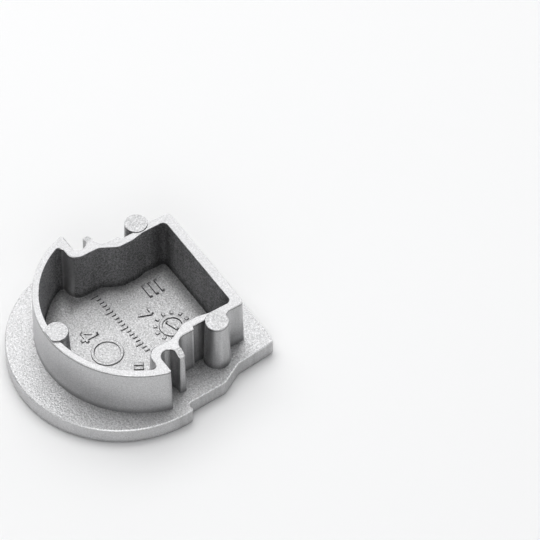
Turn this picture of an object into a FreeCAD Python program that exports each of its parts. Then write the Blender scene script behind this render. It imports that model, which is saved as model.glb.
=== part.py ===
import FreeCAD, Part
import math
import os

# A press-in end cap for an extruded channel, moulded in one piece, in millimetres.
# The outer face lies on z = 0, the plug stands up along +Z, and +Y runs from the flat base
# to the round head. The origin is the centre of the head's circle, and x = 0 is the plane of symmetry.

# Flange plate: a round head on a narrower foot
plate_thickness = 1.8
head_radius = 10.0
plate_base_y = -10.9
base_half_width = 7.5
base_corner_radius = 0.5
foot_flare = 0.38
foot_top_y = -6.9
cheek_bottom_y = -4.85
cheek_taper = 0.13
waist_radius = 0.7
notch_y = -1.06
notch_depth = 0.814
notch_radius = 0.28
outer_edge_fillet = 0.32
flange_edge_chamfer = 0.09

# Plug: a thin wall that follows the channel, drafted so that it narrows towards its rim
plug_height = 5.1
plug_draft_degrees = 0.7
plug_base_y = -8.8
side_half_width = 5.97
plug_corner_radius = 0.45
upper_side_inset = 0.24
step_y = -3.67
step_run = 0.12
step_width = 0.33
step_radius = 0.1
arc_centre_y = -2.0
arc_radius = 9.18
arc_corner_radius = 0.2

# Hooked slots beside the head, each with a thin rib standing below it
slot_bottom_offset = 0.63
slot_width = 1.41
slot_low_y = -1.07
rib_thickness = 0.58
rib_length = 1.24
rib_tip_radius = 0.18
rib_root_radius = 1.0
rib_lead_run = 0.8
rib_lead_drop = 0.5

# Pocket inside the plug
wall = 0.72
base_wall = 0.92
arc_wall = 0.63
pocket_draft_degrees = 2.6
pocket_corner_radius = 0.5
pocket_floor_fillet = 0.12
jog_low_y = -5.65
jog_high_y = -4.55
jog_radius = 1.5
flare_low_y = -3.1
flare_high_y = -1.55
flare_radius = 1.0
shoulder_radius = 1.0
head_corner_radius = 0.45
rim_edge_bevel = 0.05

# Crush pins, a little proud of the rim
pin_top_radius = 1.02
pin_draft_degrees = 2.0
pin_edge_chamfer = 0.04
side_pin_proud = 0.08
side_pin_offset = 0.44
side_pin_y = -5.7
pin_blend_radius = 0.6
pin_blend_sink = 0.05
apex_pin_proud = 0.2
apex_pin_overhang = 0.15

# The part of a short wall that the arcs at its ends may take, and the distance at which points are one
arc_share = 0.95
tolerance = 1e-5

notch_half_width = math.sqrt(head_radius ** 2 - notch_y ** 2) - notch_depth
cheek_half_width = notch_half_width - cheek_taper
foot_half_width = base_half_width + foot_flare
upper_side_half_width = side_half_width - upper_side_inset
slot_bottom_half_width = side_half_width + slot_bottom_offset
rib_tip_half_width = slot_bottom_half_width + rib_length
side_pin_half_spacing = side_half_width + side_pin_offset
rim_z = plate_thickness + plug_height
root_z = plate_thickness / 2
slot_high_y = slot_low_y + slot_width
rib_low_y = slot_low_y - rib_thickness
pin_blend_y = side_pin_y - pin_top_radius + pin_blend_sink
rim_arc_radius = arc_radius - rim_edge_bevel
apex_pin_y = arc_centre_y + rim_arc_radius + apex_pin_overhang - pin_top_radius


def point(x, y, z=0.0):
    return FreeCAD.Vector(x, y, z)


# Edges through (x, y, radius) corners, each corner turned by an arc tangent to both sides.
# The ends have no radius. Arcs that are too long for the wall between them shrink to fit it.
def rounded_path(corners):
    points = [point(x, y) for x, y, radius in corners]
    half_angles = [math.pi / 2]
    for before, here, after in zip(points, points[1:], points[2:]):
        half_angles.append((before - here).getAngle(after - here) / 2)
    half_angles.append(math.pi / 2)
    trims = [radius / math.tan(half) for (x, y, radius), half in zip(corners, half_angles)]
    shares = []
    for here, after, trim, next_trim in zip(points, points[1:], trims, trims[1:]):
        spare = here.distanceToPoint(after) - trim - next_trim
        shares.append(1.0 if spare > -tolerance else arc_share * (1 + spare / (trim + next_trim)))
    edges = []
    last = points[0]
    for i in range(1, len(points) - 1):
        trim = trims[i] * min(shares[i - 1], shares[i])
        if trim > 0:
            back = (points[i - 1] - points[i]).normalize()
            ahead = (points[i + 1] - points[i]).normalize()
            inward = (back + ahead).normalize()
            depth = trim / math.cos(half_angles[i]) - trim * math.tan(half_angles[i])
            start = points[i] + back * trim
            finish = points[i] + ahead * trim
            add_line(edges, last, start)
            edges.append(Part.Arc(start, points[i] + inward * depth, finish).toShape())
            last = finish
        else:
            add_line(edges, last, points[i])
            last = points[i]
    add_line(edges, last, points[-1])
    return edges


def add_line(edges, start, finish):
    if start.distanceToPoint(finish) > tolerance:
        edges.append(Part.LineSegment(start, finish).toShape())


# The corner where a level line meets a circle centred on x = 0, rounded inside both.
# Gives the end on the line, the middle of the corner and the end on the circle.
def corner_on_circle(line_y, centre_y, circle_radius, radius):
    centre = point(0, centre_y)
    reach = circle_radius - radius
    rise = line_y + radius - centre_y
    round_centre = point(math.sqrt(reach ** 2 - rise ** 2), line_y + radius)
    outward = (round_centre - centre).normalize()
    on_line = point(round_centre.x, line_y)
    on_circle = centre + outward * circle_radius
    middle = round_centre + (outward + point(0, -1)).normalize() * radius
    return on_line, middle, on_circle


# A closed outline, the same on both sides of x = 0: corners from the base up the right side,
# a rounded corner onto the head's circle, then the arc over the top.
def headed_outline(corners, line_y, centre_y, circle_radius, radius):
    on_line, middle, on_circle = corner_on_circle(line_y, centre_y, circle_radius, radius)
    right = rounded_path(corners + [(on_line.x, on_line.y, 0)])
    right.append(Part.Arc(on_line, middle, on_circle).toShape())
    left = [edge.mirror(point(0, 0), point(1, 0)) for edge in right]
    top = point(0, centre_y + circle_radius)
    head = Part.Arc(on_circle, top, point(-on_circle.x, on_circle.y)).toShape()
    return Part.Wire(Part.__sortEdges__(right + [head] + left))


def at_height(wire, z):
    moved = wire.copy()
    moved.translate(point(0, 0, z))
    return moved


def plate_outline():
    corners = [
        (0, plate_base_y, 0),
        (base_half_width, plate_base_y, base_corner_radius),
        (foot_half_width, foot_top_y, waist_radius),
        (cheek_half_width, cheek_bottom_y, waist_radius),
        (notch_half_width, notch_y, notch_radius),
    ]
    return headed_outline(corners, notch_y, 0, head_radius, notch_radius)


# The plug's outside, grown by the draft
def plug_outline(grow):
    side = side_half_width + grow
    upper_side = upper_side_half_width + grow
    stepped_side = upper_side + step_width
    pin_blend_x = side + pin_blend_radius / arc_share
    rib_low = rib_low_y - grow
    rib_high = slot_low_y + grow
    rib_tip = rib_tip_half_width + grow
    slot_bottom = slot_bottom_half_width + grow
    slot_high = slot_high_y - grow
    slot_radius = slot_width / 2 - grow
    corners = [
        (0, plug_base_y - grow, 0),
        (side, plug_base_y - grow, plug_corner_radius),
        (side, pin_blend_y, pin_blend_radius),
        (pin_blend_x, pin_blend_y, 0),
        (pin_blend_x, side_pin_y, 0),
        (upper_side, side_pin_y, 0),
        (upper_side, step_y - step_run / 2, step_radius),
        (stepped_side, step_y + step_run / 2, step_radius),
        (stepped_side, rib_low, rib_root_radius),
        (rib_tip, rib_low, rib_tip_radius),
        (rib_tip, rib_high, rib_tip_radius),
        (slot_bottom, rib_high, slot_radius),
        (slot_bottom, slot_high, slot_radius),
    ]
    return headed_outline(corners, slot_high, arc_centre_y, arc_radius + grow, arc_corner_radius)


# The pocket's wall, drawn in by the draft
def pocket_outline(shrink):
    side = side_half_width - wall - shrink
    upper_side = upper_side_half_width - wall - shrink
    slot_side = slot_bottom_half_width - wall - shrink
    head_low = slot_high_y + wall + shrink
    corners = [
        (0, plug_base_y + base_wall + shrink, 0),
        (side, plug_base_y + base_wall + shrink, pocket_corner_radius),
        (side, jog_low_y, jog_radius),
        (upper_side, jog_high_y, jog_radius),
        (upper_side, flare_low_y, flare_radius),
        (slot_side, flare_high_y, flare_radius),
        (slot_side, head_low, shoulder_radius),
    ]
    inner_radius = arc_radius - arc_wall - shrink
    return headed_outline(corners, head_low, arc_centre_y, inner_radius, head_corner_radius)


# Drafted up to the rim, where a small bevel takes the edge off
def bevelled(outline, low_z, draft_degrees):
    slope = math.tan(math.radians(draft_degrees))
    low = at_height(outline(slope * (rim_z - low_z)), low_z)
    below_rim = at_height(outline(slope * rim_edge_bevel), rim_z - rim_edge_bevel)
    rim = at_height(outline(-rim_edge_bevel), rim_z)
    return Part.makeLoft([low, below_rim, rim], True, True)


def edges_at(shape, z):
    return [edge for edge in shape.Edges if all(abs(v.Z - z) < tolerance for v in edge.Vertexes)]


def make_plate():
    plate = Part.Face(plate_outline()).extrude(point(0, 0, plate_thickness))
    plate = plate.makeFillet(outer_edge_fillet, edges_at(plate, 0))
    return plate.makeChamfer(flange_edge_chamfer, edges_at(plate, plate_thickness))


def make_pocket():
    pocket = bevelled(pocket_outline, plate_thickness, pocket_draft_degrees)
    return pocket.makeFillet(pocket_floor_fillet, edges_at(pocket, plate_thickness))


def make_pin(x, y, proud):
    length = rim_z + proud - root_z
    root_radius = pin_top_radius + length * math.tan(math.radians(pin_draft_degrees))
    pin = Part.makeCone(root_radius, pin_top_radius, length, point(x, y, root_z))
    return pin.makeChamfer(pin_edge_chamfer, edges_at(pin, rim_z + proud))


# The pin at the head stands in the wall and bulges into the pocket. Outside, it ends at the rim's edge.
def make_apex_pin():
    keep = Part.makeCylinder(rim_arc_radius, rim_z + apex_pin_proud, point(0, arc_centre_y))
    return make_pin(0, apex_pin_y, apex_pin_proud).common(keep)


# What the top of a rib loses at its tip: the space over a slope that falls outwards, as far as mid slot
def make_lead_in():
    inner_x = rib_tip_half_width - rib_lead_run
    outer_x = rib_tip_half_width + rib_tip_radius
    low_y = rib_low_y - rib_root_radius
    above_z = rim_z + plate_thickness
    corners = [
        point(inner_x, low_y, rim_z),
        point(outer_x, low_y, rim_z - rib_lead_drop),
        point(outer_x, low_y, above_z),
        point(inner_x, low_y, above_z),
    ]
    face = Part.Face(Part.makePolygon(corners + corners[:1]))
    return face.extrude(point(0, slot_low_y + slot_width / 2 - low_y))


def make_end_cap():
    plug = bevelled(plug_outline, root_z, plug_draft_degrees)
    lead_in = make_lead_in()
    body = make_plate().fuse(plug).cut(make_pocket())
    body = body.cut([lead_in, lead_in.mirror(point(0, 0), point(1, 0))])
    left_pin = make_pin(-side_pin_half_spacing, side_pin_y, side_pin_proud)
    right_pin = make_pin(side_pin_half_spacing, side_pin_y, side_pin_proud)
    return body.multiFuse([left_pin, right_pin, make_apex_pin()]).removeSplitter()


end_cap = make_end_cap()
os.makedirs("parts", exist_ok=True)
end_cap.exportStep("parts/end_cap.step")
box = end_cap.BoundBox
print("end_cap: solids", len(end_cap.Solids), "valid", end_cap.isValid(), "volume", round(end_cap.Volume, 1))
print("box", round(box.XLength, 2), round(box.YLength, 2), round(box.ZLength, 2))
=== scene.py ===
import math

import bpy
import numpy as np
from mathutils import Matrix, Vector


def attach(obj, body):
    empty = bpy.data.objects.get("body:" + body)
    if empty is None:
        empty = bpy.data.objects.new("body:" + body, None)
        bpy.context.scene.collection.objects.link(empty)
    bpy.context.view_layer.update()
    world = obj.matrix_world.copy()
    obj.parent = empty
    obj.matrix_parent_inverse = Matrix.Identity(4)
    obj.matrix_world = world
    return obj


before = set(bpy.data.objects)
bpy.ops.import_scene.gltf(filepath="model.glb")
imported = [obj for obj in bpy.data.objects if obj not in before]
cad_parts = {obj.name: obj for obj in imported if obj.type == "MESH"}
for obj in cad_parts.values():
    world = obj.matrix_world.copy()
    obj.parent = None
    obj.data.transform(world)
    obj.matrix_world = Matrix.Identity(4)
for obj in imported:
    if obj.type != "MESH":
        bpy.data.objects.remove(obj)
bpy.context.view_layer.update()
mm = 0.001                                    # the frame is in metres, the figures below in millimetres


def inMetres(lengths):
    return tuple(length * mm for length in lengths)


# Nodes that the room and the finish are built from. A number or a tuple is set on the new node's
# socket, and another node's output is linked to it.
def addMath(tree, operation, first, second=None):
    node = tree.nodes.new("ShaderNodeMath")
    node.operation = operation
    for socket, value in zip(node.inputs, (first, second)):
        if isinstance(value, (int, float)):
            socket.default_value = value
        elif value is not None:
            tree.links.new(value, socket)
    return node.outputs[0]


def addVector(tree, operation, first, second=None):
    node = tree.nodes.new("ShaderNodeVectorMath")
    node.operation = operation
    for socket, value in zip(node.inputs, (first, second)):
        if isinstance(value, tuple):
            socket.default_value = value
        elif value is not None:
            tree.links.new(value, socket)
    return node.outputs["Value" if operation in ("DOT_PRODUCT", "DISTANCE") else "Vector"]


def addSplit(tree, vector):
    node = tree.nodes.new("ShaderNodeSeparateXYZ")
    tree.links.new(vector, node.inputs[0])
    return node.outputs


noiseMiddle = 0.5                             # a noise swings evenly round this value


def addNoise(tree, coords, scale, detail, roughness=0.5):
    node = tree.nodes.new("ShaderNodeTexNoise")
    node.inputs["Detail"].default_value = detail
    node.inputs["Roughness"].default_value = roughness
    tree.links.new(coords, node.inputs["Vector"])
    tree.links.new(scale, node.inputs["Scale"])
    return node.outputs["Fac"]


# From 0 below the low value to 1 over the high one, smoothly, or between two other ends
def addRamp(tree, value, low, high, start=0.0, end=1.0):
    node = tree.nodes.new("ShaderNodeMapRange")
    node.interpolation_type = "SMOOTHSTEP"
    for label, number in (("From Min", low), ("From Max", high), ("To Min", start), ("To Max", end)):
        node.inputs[label].default_value = number
    tree.links.new(value, node.inputs["Value"])
    return node.outputs["Result"]


# One less a mask
def flip(tree, mask):
    return addMath(tree, "SUBTRACT", 1.0, mask)


# Where all the masks given hold
def overlap(tree, first, *others):
    for other in others:
        first = addMath(tree, "MULTIPLY", first, other)
    return first


# Camera and stage
photoCamera = {
    "stand": (-191.697, 110.852, 285.012),
    "target": (0.415, -15.597, 0.0),
    "lens": 278.5,
    "sensorWidth": 36.0,
    "clipStart": 10.0,
}


def addCamera(look):
    data = bpy.data.cameras.new("photoCamera")
    data.lens = look["lens"]
    data.sensor_width = look["sensorWidth"]
    data.clip_start = look["clipStart"] * mm
    camera = bpy.data.objects.new("photoCamera", data)
    stand = Vector(look["stand"]) * mm
    aim = Vector(look["target"]) * mm - stand
    camera.location = stand
    camera.rotation_euler = aim.to_track_quat("-Z", "Y").to_euler()
    bpy.context.scene.collection.objects.link(camera)
    bpy.context.scene.camera = camera


softboxes = {
    "backSoftbox": {"from": (185.0, -35.0, 400.0), "size": (500.0, 360.0), "watts": 1.62},
    "topSoftbox": {"from": (-15.0, 30.0, 500.0), "size": (380.0, 380.0), "watts": 0.54},
    "frontSoftbox": {"from": (-320.0, 230.0, 300.0), "size": (240.0, 170.0), "watts": 0.27},
}


def addSoftbox(name, look):
    data = bpy.data.lights.new(name, "AREA")
    data.shape = "RECTANGLE"
    data.size, data.size_y = inMetres(look["size"])
    data.energy = look["watts"]
    lamp = bpy.data.objects.new(name, data)
    lamp.location = Vector(look["from"]) * mm
    lamp.rotation_euler = (-lamp.location).to_track_quat("-Z", "Y").to_euler()
    bpy.context.scene.collection.objects.link(lamp)


tentLight = {
    "color": (0.97, 0.98, 1.0),
    "horizon": 0.76,                          # the tent's low white wall, all round
    "zenith": 0.05,                           # the unlit room over it
    "wallFade": (0.5, 0.8),                   # sines of the angles between which the white wall fades out
    "openSide": (0.73, 0.68, 0.0),            # the way to the tent's opening, which gives little light
    "openFade": (0.3, 0.75),                  # dot products with that way, over which the light falls
    "openShare": 0.6,                         # how much of it is gone there
}


# A room whose light fades evenly from the horizon up to a dim ceiling, and towards an open side:
# there it is less by openShare times a ramp of the dot product with the way to that side.
def addRoom(look):
    room = bpy.data.worlds.new("tentRoom")
    room.use_nodes = True
    tree = room.node_tree
    toward = tree.nodes.new("ShaderNodeTexCoord").outputs["Generated"]
    rise = addSplit(tree, toward)["Z"]
    fade = addRamp(tree, rise, *look["wallFade"], look["horizon"], look["zenith"])
    side = addVector(tree, "DOT_PRODUCT", toward, look["openSide"])
    opening = addMath(tree, "MULTIPLY", addRamp(tree, side, *look["openFade"]), look["openShare"])
    background = tree.nodes["Background"]
    tree.links.new(addMath(tree, "MULTIPLY", fade, flip(tree, opening)), background.inputs["Strength"])
    background.inputs["Color"].default_value = (*look["color"], 1.0)
    bpy.context.scene.world = room


def makeMesh(name, verts, faces):
    mesh = bpy.data.meshes.new(name)
    mesh.from_pydata(verts.tolist(), [], faces)
    mesh.polygons.foreach_set("use_smooth", [True] * len(mesh.polygons))
    mesh.update()
    piece = bpy.data.objects.new(name, mesh)
    bpy.context.scene.collection.objects.link(piece)
    return piece


floorLook = {
    "halfSize": 1500.0,
    "drop": 0.02,                             # how far the table lies under the outer face
    "color": (0.855, 0.855, 0.855),
    "roughness": 0.6,
    "specular": 0.2,
}


# A flat square of side twice halfSize, just under the outer face
def addFloor(look):
    corner = look["halfSize"] * mm
    signs = np.array([(-1, -1), (1, -1), (1, 1), (-1, 1)], float)
    verts = np.column_stack([signs * corner, np.full(4, -look["drop"] * mm)])
    floor = makeMesh("tableTop", verts, [(0, 1, 2, 3)])
    material = bpy.data.materials.new("tablePaper")
    material.use_nodes = True
    shader = material.node_tree.nodes["Principled BSDF"]
    shader.inputs["Base Color"].default_value = (*look["color"], 1.0)
    shader.inputs["Roughness"].default_value = look["roughness"]
    shader.inputs["Specular IOR Level"].default_value = look["specular"]
    floor.data.materials.append(material)


addCamera(photoCamera)
addFloor(floorLook)
for boxName, boxLook in softboxes.items():
    addSoftbox(boxName, boxLook)
addRoom(tentLight)
bpy.context.scene.view_settings.view_transform = "Standard"
print("stage: camera, table and soft light in place")


# Shader groups of the silver finish
def newGroup(name, numbers, outputs, vectors=()):
    group = bpy.data.node_groups.new(name, "ShaderNodeTree")
    for labels, kind in ((vectors, "NodeSocketVector"), (numbers, "NodeSocketFloat")):
        for label in labels:
            group.interface.new_socket(label, in_out="INPUT", socket_type=kind)
    for label in outputs:
        group.interface.new_socket(label, in_out="OUTPUT", socket_type="NodeSocketFloat")
    return group, group.nodes.new("NodeGroupInput").outputs, group.nodes.new("NodeGroupOutput").inputs


# Pairs are the low and the high end of a ramp
faceLimits = {
    "level": (0.45, 0.8),                     # the unit normal's upright part, from wall to level
    "bevel": (0.3, 0.55),                     # the same, from wall to bevel
    "overBevel": (0.85, 0.97),                # and from bevel to level
    "inward": (0.0, 0.35),                    # the normal's part towards the pocket's axis
    "footClimb": 0.9,                         # how high the foot's mask climbs a wall
    "footGap": 0.005,
    "heelClimb": 0.6,                         # the same from the table
    "rimBand": 0.03,                          # what counts as the rim's height, up and down
    "browMiddle": 0.13,                       # from the rim's height, down or up
    "browReach": 0.14,
    "recess": (0.5, 1.2),                     # distance along Y
    "corner": (0.3, 1.8),                     # distances in plan
    "step": (0.08, 0.26),
}


# Masks from the normal. Level: its upright part is large. Inward: it points back at the pocket's
# upright axis, so its dot product with the way out from that axis is negative. Slanted: its upright
# part is middling, as on a bevel or fillet. Wall: that part is small, and it isn't inward.
def maskFacing(group, coords, pocketCentre):
    normal = group.nodes.new("ShaderNodeNewGeometry").outputs["Normal"]
    upright = addSplit(group, normal)["Z"]
    level = addRamp(group, addMath(group, "ABSOLUTE", upright), *faceLimits["level"])
    outward = addVector(group, "SUBTRACT", coords, pocketCentre)
    flat = addVector(group, "MULTIPLY", outward, (1.0, 1.0, 0.0))
    facing = addVector(group, "DOT_PRODUCT", addVector(group, "NORMALIZE", flat), normal)
    inward = addRamp(group, addMath(group, "MULTIPLY", facing, -1.0), *faceLimits["inward"])
    notWall = addRamp(group, upright, *faceLimits["bevel"])
    notLevel = flip(group, addRamp(group, upright, *faceLimits["overBevel"]))
    slanted = overlap(group, notWall, notLevel)
    wall = overlap(group, flip(group, notWall), flip(group, inward))
    return level, inward, slanted, wall


# Where shade is painted at the feet: off the level faces, and just over the flange or the pocket's floor, or
# over the table
def maskFoot(group, height, overFloor, level):
    nearFloor = flip(group, addRamp(group, overFloor, 0.0, faceLimits["footClimb"] * mm))
    foot = overlap(group, nearFloor, addMath(group, "GREATER_THAN", overFloor, faceLimits["footGap"] * mm))
    heel = flip(group, addRamp(group, height, 0.0, faceLimits["heelClimb"] * mm))
    return overlap(group, addMath(group, "MAXIMUM", foot, heel), flip(group, level))


# Rim: level and within a band round the rim's height. Pin top: level and over that band. Brow: a band
# on a wall, whose mask falls off on either side of its middle; it places painted shade near the rim's
# height.
def maskRim(group, overRim, level, wall):
    band = faceLimits["rimBand"] * mm
    fromRim = addMath(group, "ABSOLUTE", overRim)
    rim = overlap(group, level, addMath(group, "LESS_THAN", fromRim, band))
    pinTop = overlap(group, level, addMath(group, "GREATER_THAN", overRim, band))
    fromBrow = addMath(group, "ABSOLUTE", addMath(group, "SUBTRACT", fromRim, faceLimits["browMiddle"] * mm))
    brow = flip(group, addRamp(group, fromBrow, 0.0, faceLimits["browReach"] * mm))
    return rim, pinTop, overlap(group, brow, wall)


# 0 near a point given in plan and 1 away from it, on either side of the cap. Folded is (|X|, Y).
def maskAway(group, folded, point, limits):
    reach = addVector(group, "DISTANCE", folded, point)
    return addRamp(group, reach, *inMetres(limits))


# The outline of the pocket's floor, in plan
floorPlan = {
    "halfWidth": 4.85,
    "baseEnd": -7.65,                         # along Y, as are the next two
    "flare": (-3.1, -1.5),
    "headStart": 1.26,
    "flareWidth": 0.8,                        # how much the half width grows over the flare
    "headMiddle": (0.0, -2.0, 0.0),
    "headRadius": 8.32,
    "underWall": 0.4,                         # how far the mask runs on under the walls
    "markHeight": 0.2,                        # and over the raised marks
    "fringe": 1.6,                            # width of the band along the walls
}


# How far a point lies inside the floor's outline: the lesser of two depths. One is the depth inside
# the head's circle. The other is the greater of the depth inside the base, whose sides flare, and
# the way past the head's start.
def floorDepth(group, folded, aside, along):
    flare = addRamp(group, along, *inMetres(floorPlan["flare"]))
    spread = addMath(group, "MULTIPLY", flare, floorPlan["flareWidth"] * mm)
    halfWidth = addMath(group, "ADD", spread, floorPlan["halfWidth"] * mm)
    sideDepth = addMath(group, "SUBTRACT", halfWidth, aside)
    endDepth = addMath(group, "SUBTRACT", along, floorPlan["baseEnd"] * mm)
    baseDepth = addMath(group, "MINIMUM", sideDepth, endDepth)
    pastStart = addMath(group, "SUBTRACT", along, floorPlan["headStart"] * mm)
    fromMiddle = addVector(group, "DISTANCE", folded, inMetres(floorPlan["headMiddle"]))
    headDepth = addMath(group, "SUBTRACT", floorPlan["headRadius"] * mm, fromMiddle)
    return addMath(group, "MINIMUM", addMath(group, "MAXIMUM", baseDepth, pastStart), headDepth)


# Which face a point lies on. Edge and Crease: slanted, and on the outside or in the pocket; they take a
# painted highlight and painted shade. Recess: the walls beside the side pins, where Y is near the middle
# given. Step: the edge of the small step in them. Corner: the pocket's walls near its corners. Fringe:
# the floor's band along its walls. Foot, Brow, Recess, Corner and Fringe place painted shade, and Step a
# painted highlight.
def buildFaceMasks():
    group, given, out = newGroup(
        "faceMasks",
        ("Floor Height", "Rim Height", "Recess Middle"),
        ("Level", "Pocket Wall", "Edge", "Crease", "Foot", "Rim", "Pin Top", "Brow", "Recess", "Corner",
         "Step", "Pocket Floor", "Fringe"),
        ("Pocket Centre", "Base Corner", "Head Corner", "Step Corner"),
    )
    coords = group.nodes.new("ShaderNodeTexCoord").outputs["Object"]
    level, inward, slanted, wall = maskFacing(group, coords, given["Pocket Centre"])
    place = addSplit(group, coords)
    aside = addMath(group, "ABSOLUTE", place["X"])
    overFloor = addMath(group, "SUBTRACT", place["Z"], given["Floor Height"])
    overRim = addMath(group, "SUBTRACT", place["Z"], given["Rim Height"])
    rim, pinTop, brow = maskRim(group, overRim, level, wall)

    besidePin = addMath(group, "ABSOLUTE", addMath(group, "SUBTRACT", place["Y"], given["Recess Middle"]))
    recess = flip(group, addRamp(group, besidePin, *inMetres(faceLimits["recess"])))
    recess = overlap(group, recess, addMath(group, "GREATER_THAN", overFloor, 0.0), wall)

    fold = group.nodes.new("ShaderNodeCombineXYZ")
    group.links.new(aside, fold.inputs["X"])
    group.links.new(place["Y"], fold.inputs["Y"])
    folded = fold.outputs["Vector"]
    offBase = maskAway(group, folded, given["Base Corner"], faceLimits["corner"])
    offHead = maskAway(group, folded, given["Head Corner"], faceLimits["corner"])
    corner = overlap(group, flip(group, overlap(group, offBase, offHead)), inward)
    offStep = maskAway(group, folded, given["Step Corner"], faceLimits["step"])
    step = overlap(group, flip(group, offStep), wall)

    depth = floorDepth(group, folded, aside, place["Y"])
    within = addMath(group, "GREATER_THAN", depth, -floorPlan["underWall"] * mm)
    low = addMath(group, "LESS_THAN", overFloor, floorPlan["markHeight"] * mm)
    pocketFloor = overlap(group, within, low, level)
    nearWall = flip(group, addRamp(group, depth, 0.0, floorPlan["fringe"] * mm))

    masks = {
        "Level": level,
        "Pocket Wall": inward,
        "Edge": overlap(group, slanted, flip(group, inward)),
        "Crease": overlap(group, slanted, inward),
        "Foot": maskFoot(group, place["Z"], overFloor, level),
        "Rim": rim,
        "Pin Top": pinTop,
        "Brow": brow,
        "Recess": recess,
        "Corner": corner,
        "Step": step,
        "Pocket Floor": pocketFloor,
        "Fringe": overlap(group, pocketFloor, nearWall),
    }
    for label, mask in masks.items():
        group.links.new(mask, out[label])
    return group


grainMix = {
    "detail": 2.0,
    "roughness": 0.6,
    "fineRatio": 2.3,                         # how much finer the second noise is
    "fineDetail": 1.0,
    "fineShare": 0.5,
}


# Spark-eroded grain: two noises, one finer and weaker, added. It is strong where the face is level
# and weak on the drafted walls, which the mould's steel polishes as the part is pushed out. The
# tone is 1 plus the sum's swing round its own middle.
def buildMouldGrain():
    group, given, out = newGroup(
        "mouldGrain", ("Grain Scale", "Level", "Wall Share", "Tone Depth"), ("Height", "Tone")
    )
    coords = group.nodes.new("ShaderNodeTexCoord").outputs["Object"]
    coarse = addNoise(group, coords, given["Grain Scale"], grainMix["detail"], grainMix["roughness"])
    fineScale = addMath(group, "MULTIPLY", given["Grain Scale"], grainMix["fineRatio"])
    fine = addNoise(group, coords, fineScale, grainMix["fineDetail"])
    both = addMath(group, "ADD", coarse, addMath(group, "MULTIPLY", fine, grainMix["fineShare"]))
    middle = noiseMiddle * (1 + grainMix["fineShare"])
    share = addMath(group, "MAXIMUM", given["Level"], given["Wall Share"])
    group.links.new(addMath(group, "MULTIPLY", both, share), out["Height"])
    swing = addMath(group, "MULTIPLY", addMath(group, "SUBTRACT", both, middle), given["Tone Depth"])
    group.links.new(addMath(group, "ADD", addMath(group, "MULTIPLY", swing, share), 1.0), out["Tone"])
    return group


flakeDetail = {"Drift": 2.0, "Speck": 1.0}


# Metal flake in the plastic: a slow drift of tone and small sparse specks, as one factor round 1
def buildFlakeTone():
    group, given, out = newGroup(
        "flakeTone", ("Drift Scale", "Drift", "Speck Scale", "Speck"), ("Factor",)
    )
    coords = group.nodes.new("ShaderNodeTexCoord").outputs["Object"]
    swings = []
    for label, detail in flakeDetail.items():
        noise = addNoise(group, coords, given[label + " Scale"], detail)
        swing = addMath(group, "SUBTRACT", noise, noiseMiddle)
        swings.append(addMath(group, "MULTIPLY", swing, given[label]))
    group.links.new(addMath(group, "ADD", addMath(group, "ADD", *swings), 1.0), out["Factor"])
    return group


streakForm = {
    "squash": 0.05,                           # the noise's scale up the wall, as a share of that round it
    "detail": 3.0,
    "roughness": 0.6,
    "headFade": 1.0,                          # how far along Y the streaks take to end
}


# Drag marks up the drafted walls: a noise drawn out along Z, so that it changes quickly round the
# wall and slowly up it. The factor is 1 plus the noise's swing, less a constant loss. It stays 1 on
# level faces and on the round head, past the Y given, where the steel lets go of the part more easily.
def buildDragStreaks():
    group, given, out = newGroup(
        "dragStreaks", ("Streak Scale", "Depth", "Level", "Head Start", "Loss"), ("Factor",)
    )
    coords = group.nodes.new("ShaderNodeTexCoord").outputs["Object"]
    drawn = addVector(group, "MULTIPLY", coords, (1.0, 1.0, streakForm["squash"]))
    noise = addNoise(group, drawn, given["Streak Scale"], streakForm["detail"], streakForm["roughness"])
    swing = addMath(group, "MULTIPLY", addMath(group, "SUBTRACT", noise, noiseMiddle), given["Depth"])
    swing = addMath(group, "SUBTRACT", swing, given["Loss"])
    pastStart = addMath(group, "SUBTRACT", addSplit(group, coords)["Y"], given["Head Start"])
    head = addRamp(group, pastStart, 0.0, streakForm["headFade"] * mm)
    share = overlap(group, flip(group, given["Level"]), flip(group, head))
    group.links.new(addMath(group, "ADD", addMath(group, "MULTIPLY", swing, share), 1.0), out["Factor"])
    return group


faceMasks = buildFaceMasks()
mouldGrain = buildMouldGrain()
flakeTone = buildFlakeTone()
dragStreaks = buildDragStreaks()
print("groups: face masks, grain, flake and streaks built")


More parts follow.
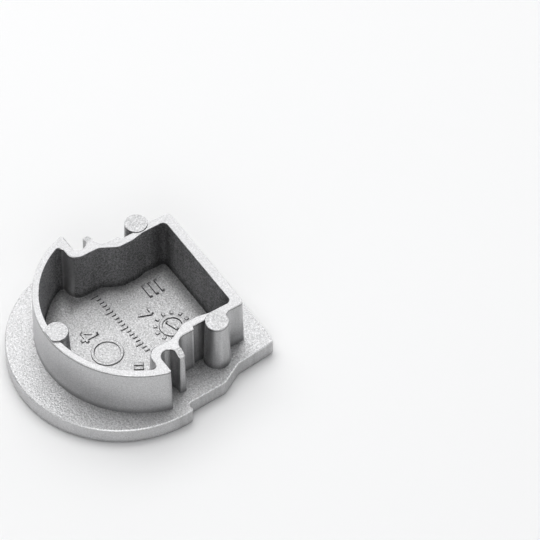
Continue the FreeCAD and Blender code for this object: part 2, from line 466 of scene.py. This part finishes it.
# The moulded silver plastic
capFinish = {
    "pocketCentre": (0.0, -3.0, 0.0),
    "baseCorner": (5.1, -7.6, 0.0),
    "headCorner": (7.2, 0.9, 0.0),
    "stepCorner": (6.09, -3.61, 0.0),
    "floorHeight": 1.8,
    "rimHeight": 6.9,
    "recessMiddle": -4.15,                    # along Y
    "wallColor": (0.535, 0.535, 0.54),
    "levelColor": (0.47, 0.47, 0.475),        # the eroded faces scatter more light
    "pocketShadeColor": (0.302, 0.302, 0.307),     # painted shade: the pocket's walls get a darker colour
    "floorColor": (0.61, 0.61, 0.615),        # the pocket's floor
    "edgeHighlightColor": (0.88, 0.88, 0.88),          # painted highlight on the outer bevels and fillets
    "creaseShadeColor": (0.17, 0.17, 0.175),       # painted shade on the pocket's own bevels and fillets
    "metallic": 0.87,
    "wallRough": 0.34,
    "levelRough": 0.41,
    "pocketRough": 0.72,
    "floorRough": 0.62,
    "edgeRough": 0.38,
    "grainScale": 6200.0,                     # per metre
    "grainDepth": 0.04,
    "wallShare": 0.3,                         # of the grain of a level face
    "pocketShare": 1.7,                       # the same for the pocket's walls
    "rimShare": 0.45,                         # and for the rim, which the split of the mould wears smooth
    "toneDepth": 1.4,
    "driftScale": 320.0,                      # per metre
    "drift": 0.10,
    "speckScale": 11000.0,                    # per metre
    "speck": 0.7,
    "streakScale": 2600.0,                    # per metre, round the wall
    "streakDepth": 0.55,
    "streakLoss": 0.17,
    "headStart": 0.2,                         # along Y
    "tones": {                                # what each mask makes of the colour
        # painted shade along the walls' feet and along the plate's foot over the table
        "Foot": 0.5,
        # painted shade in a band on the walls near the rim's height
        "Brow": 0.5,
        # painted shade on the walls beside the side pins
        "Recess": 0.68,
        # painted shade on the pocket's walls near its corners
        "Corner": 0.5,
        # painted shade on the floor's band along the pocket's walls
        "Fringe": 0.42,
        "Step": 1.8,                          # painted highlight on the edge of the wall's small step
        "Pin Top": 0.92,
        "Rim": 0.91,
    },
}


def placeGroup(tree, group, values):
    node = tree.nodes.new("ShaderNodeGroup")
    node.node_tree = group
    for label, value in values.items():
        node.inputs[label].default_value = value
    return node


# One value blended into another by a mask
def blend(tree, kind, mask, low, high):
    node = tree.nodes.new("ShaderNodeMix")
    node.data_type = kind
    tree.links.new(mask, node.inputs["Factor"])
    sockets = [socket for socket in node.inputs if socket.enabled and socket.name in ("A", "B")]
    for socket, value in zip(sockets, (low, high)):
        if isinstance(value, bpy.types.NodeSocket):
            tree.links.new(value, socket)
        else:
            socket.default_value = value
    return next(socket for socket in node.outputs if socket.enabled)


# Each mask's value laid over the one before, from a first that covers everything
def layer(tree, kind, first, *layers):
    for mask, value in layers:
        first = blend(tree, kind, mask, first, value)
    return first


def placeMasks(tree, look):
    return placeGroup(tree, faceMasks, {
        "Pocket Centre": inMetres(look["pocketCentre"]),
        "Base Corner": inMetres(look["baseCorner"]),
        "Head Corner": inMetres(look["headCorner"]),
        "Step Corner": inMetres(look["stepCorner"]),
        "Floor Height": look["floorHeight"] * mm,
        "Rim Height": look["rimHeight"] * mm,
        "Recess Middle": look["recessMiddle"] * mm,
    }).outputs


# The grain is at full strength on level faces, less so on the rim, and has its own on the pocket's walls
def placeGrain(tree, masks, look):
    grain = placeGroup(tree, mouldGrain, {
        "Grain Scale": look["grainScale"],
        "Wall Share": look["wallShare"],
        "Tone Depth": look["toneDepth"],
    })
    onPocket = addMath(tree, "MULTIPLY", masks["Pocket Wall"], look["pocketShare"])
    strength = addMath(tree, "MAXIMUM", masks["Level"], onPocket)
    worn = addMath(tree, "MULTIPLY", masks["Rim"], 1 - look["rimShare"])
    tree.links.new(addMath(tree, "SUBTRACT", strength, worn), grain.inputs["Level"])
    return grain.outputs


def placeStreaks(tree, masks, look):
    streaks = placeGroup(tree, dragStreaks, {
        "Streak Scale": look["streakScale"],
        "Depth": look["streakDepth"],
        "Head Start": look["headStart"] * mm,
        "Loss": look["streakLoss"],
    })
    tree.links.new(masks["Level"], streaks.inputs["Level"])
    return streaks.outputs["Factor"]


def silverPlastic(name, look):
    material = bpy.data.materials.new(name)
    material.use_nodes = True
    tree = material.node_tree
    shader = tree.nodes["Principled BSDF"]
    shader.inputs["Metallic"].default_value = look["metallic"]
    masks = placeMasks(tree, look)
    grain = placeGrain(tree, masks, look)

    bump = tree.nodes.new("ShaderNodeBump")
    bump.inputs["Distance"].default_value = look["grainDepth"] * mm
    tree.links.new(grain["Height"], bump.inputs["Height"])
    tree.links.new(bump.outputs["Normal"], shader.inputs["Normal"])

    roughness = layer(
        tree, "FLOAT", look["wallRough"],
        (masks["Pocket Wall"], look["pocketRough"]),
        (masks["Level"], look["levelRough"]),
        (masks["Pocket Floor"], look["floorRough"]),
        (masks["Edge"], look["edgeRough"]),
    )
    tree.links.new(roughness, shader.inputs["Roughness"])

    # Colours by face. The pocket walls' and the creases' darker colours are painted shade, and the bevels'
    # bright colour is a painted highlight.
    color = layer(
        tree, "VECTOR", look["wallColor"],
        (masks["Pocket Wall"], look["pocketShadeColor"]),
        (masks["Level"], look["levelColor"]),
        (masks["Pocket Floor"], look["floorColor"]),
        (masks["Edge"], look["edgeHighlightColor"]),
        (masks["Crease"], look["creaseShadeColor"]),
    )
    flake = placeGroup(tree, flakeTone, {
        "Drift Scale": look["driftScale"],
        "Drift": look["drift"],
        "Speck Scale": look["speckScale"],
        "Speck": look["speck"],
    })
    tone = addMath(tree, "MULTIPLY", flake.outputs["Factor"], grain["Tone"])
    tone = addMath(tree, "MULTIPLY", tone, placeStreaks(tree, masks, look))
    for label, share in look["tones"].items():
        tone = addMath(tree, "MULTIPLY", tone, blend(tree, "FLOAT", masks[label], 1.0, share))
    tint = tree.nodes.new("ShaderNodeVectorMath")
    tint.operation = "SCALE"
    tree.links.new(color, tint.inputs[0])
    tree.links.new(tone, tint.inputs["Scale"])
    tree.links.new(tint.outputs["Vector"], shader.inputs["Base Color"])
    return material


capPlastic = silverPlastic("silverCapPlastic", capFinish)
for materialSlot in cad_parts["end_cap"].material_slots:
    materialSlot.material = capPlastic
print("material: silver plastic on the cap")


# Raised mould marks on the pocket's floor
markShape = {
    "floor": capFinish["floorHeight"],
    "width": 0.34,
    "height": 0.13,
    "sink": 0.03,                             # how far a mark's foot goes into the floor
    "profilePoints": 9,
    "crownPower": 6,                          # the higher, the flatter the crown and the steeper the sides
}


# A closed loop of points across a stroke: across runs from -1 to 1 half widths, and the top is
# the square root of one less |across| to the crown's power.
def strokeProfile(width):
    across = np.linspace(-1, 1, markShape["profilePoints"])
    crown = np.sqrt(np.clip(1 - np.abs(across) ** markShape["crownPower"], 0, 1))
    rise = crown * (markShape["height"] + markShape["sink"]) - markShape["sink"]
    return across * width / 2, rise


# The profile carried along a flat path: each point is the path's point plus the profile's offset
# across the path's tangent, and its rise above the floor.
def sweepStroke(path, closed, width):
    path = np.asarray(path, float)
    if closed:
        tangent = np.roll(path, -1, 0) - np.roll(path, 1, 0)
    else:
        tangent = np.gradient(path, axis=0)
    tangent /= np.linalg.norm(tangent, axis=1)[:, None]
    normal = np.column_stack([tangent[:, 1], -tangent[:, 0]])
    across, rise = strokeProfile(width)
    flat = path[:, None, :] + normal[:, None, :] * across[None, :, None]
    height = np.broadcast_to(markShape["floor"] + rise, flat.shape[:2])
    verts = np.concatenate([flat, height[..., None]], 2).reshape(-1, 3)
    rows, cols = len(path), len(across)
    i = np.arange(rows if closed else rows - 1)[:, None]
    j = np.arange(cols)[None, :]
    nextRow = (i + 1) % rows * cols
    nextCol = (j + 1) % cols
    quads = np.stack([i * cols + j, i * cols + nextCol, nextRow + nextCol, nextRow + j], -1)
    faces = quads.reshape(-1, 4).tolist()
    if not closed:
        faces.append(list(range(cols))[::-1])
        faces.append(list(range((rows - 1) * cols, rows * cols)))
    return verts, faces


# All of a mark's strokes, each a path and whether it closes, in one mesh
def markPiece(name, strokes, width=markShape["width"]):
    verts, faces, start = [], [], 0
    for path, closed in strokes:
        points, quads = sweepStroke(path, closed, width)
        verts.append(points)
        faces += [[k + start for k in face] for face in quads]
        start += len(points)
    piece = makeMesh(name, np.vstack(verts) * mm, faces)
    piece.data.materials.append(capPlastic)
    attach(piece, "root")


def lineStroke(start, finish, count=6):
    return np.linspace(start, finish, count), False


# A circle: its centre plus its radius along the cosine and sine of an angle that goes once round
def ringStroke(centre, radius, count=64):
    angle = np.radians(np.linspace(0, 360 - 360 / count, count))
    return np.asarray(centre) + radius * np.column_stack([np.cos(angle), np.sin(angle)]), True


# A unit drawing's stroke scaled, turned by an angle in degrees and moved to its place on the floor
def placed(stroke, look):
    path, closed = stroke
    c, s = math.cos(math.radians(look["turn"])), math.sin(math.radians(look["turn"]))
    return path * look["size"] @ np.array([(c, s), (-s, c)]) + np.asarray(look["centre"]), closed


plainRing = {"centre": (-0.75, 1.85), "radius": 1.28}

dateRing = {
    "centre": (-1.35, -4.35),
    "radius": 1.0,
    "tickFrom": 1.3,
    "tickTo": 1.62,
    "ticks": 12,
    "pointer": 20.0,                          # the way that the pointer lies, in degrees
    "pointerGap": 0.35,                       # from its ends to the ring
}


# A ring with ticks round it, spaced evenly, and a pointer across it
def addDateRing(look):
    strokes = [ringStroke(look["centre"], look["radius"])]
    angles = np.radians(np.arange(look["ticks"]) * 360 / look["ticks"])
    for spoke in np.column_stack([np.cos(angles), np.sin(angles)]):
        start, finish = (look["centre"] + spoke * look[end] for end in ("tickFrom", "tickTo"))
        strokes.append(lineStroke(start, finish))
    aim = np.radians(look["pointer"])
    tip = np.array([math.cos(aim), math.sin(aim)]) * (look["radius"] - look["pointerGap"])
    strokes.append(lineStroke(look["centre"] - tip, look["centre"] + tip))
    markPiece("date_ring", strokes)


floorBars = {"centre": (3.05, -5.2), "size": 1.0, "length": 1.5, "gap": 0.62, "count": 3, "turn": 0.0}
sideBars = {"centre": (-3.5, 0.4), "size": 1.0, "length": 0.85, "gap": 0.45, "count": 2, "turn": 60.0}


# Equal bars side by side, spaced evenly about their centre
def addBars(name, look):
    shifts = (np.arange(look["count"]) - (look["count"] - 1) / 2) * look["gap"]
    half = look["length"] / 2
    markPiece(name, [placed(lineStroke((-half, shift), (half, shift)), look) for shift in shifts])


# Each digit's strokes are drawn in a unit square about its centre
cavityNumbers = {
    "seven": {
        "centre": (1.05, -3.05),
        "size": 1.15,
        "turn": 180.0,
        "lines": [((-0.3, 0.5), (0.3, 0.5)), ((0.3, 0.5), (-0.1, -0.5))],
    },
    "four": {
        "centre": (1.7, 2.3),
        "size": 1.7,
        "turn": 180.0,
        "lines": [((0.15, -0.5), (0.15, 0.5)), ((0.15, 0.5), (-0.33, -0.2)), ((-0.33, -0.2), (0.36, -0.2))],
    },
}


def addCavityNumbers(look):
    strokes = []
    for digit in look.values():
        strokes += [placed(lineStroke(start, finish), digit) for start, finish in digit["lines"]]
    markPiece("cavity_numbers", strokes)


scaleRow = {
    "start": (5.0, -0.75),
    "finish": (-2.4, -1.35),
    "count": 18,
    "short": 0.42,
    "long": 0.72,
    "longEvery": 5,
    "width": 0.15,
}


# Short bars side by side along a line, with a longer one at even steps
def addScaleRow(look):
    strokes = []
    for k, foot in enumerate(np.linspace(look["start"], look["finish"], look["count"])):
        reach = look["short"] if k % look["longEvery"] else look["long"]
        strokes.append(lineStroke(foot, foot + np.array([0.0, reach])))
    markPiece("scale_row", strokes, look["width"])


markPiece("plain_ring", [ringStroke(plainRing["centre"], plainRing["radius"])])
addDateRing(dateRing)
addBars("floor_bars", floorBars)
addBars("side_bars", sideBars)
addCavityNumbers(cavityNumbers)
addScaleRow(scaleRow)
print("marks: rings, bars and numbers raised on the floor")
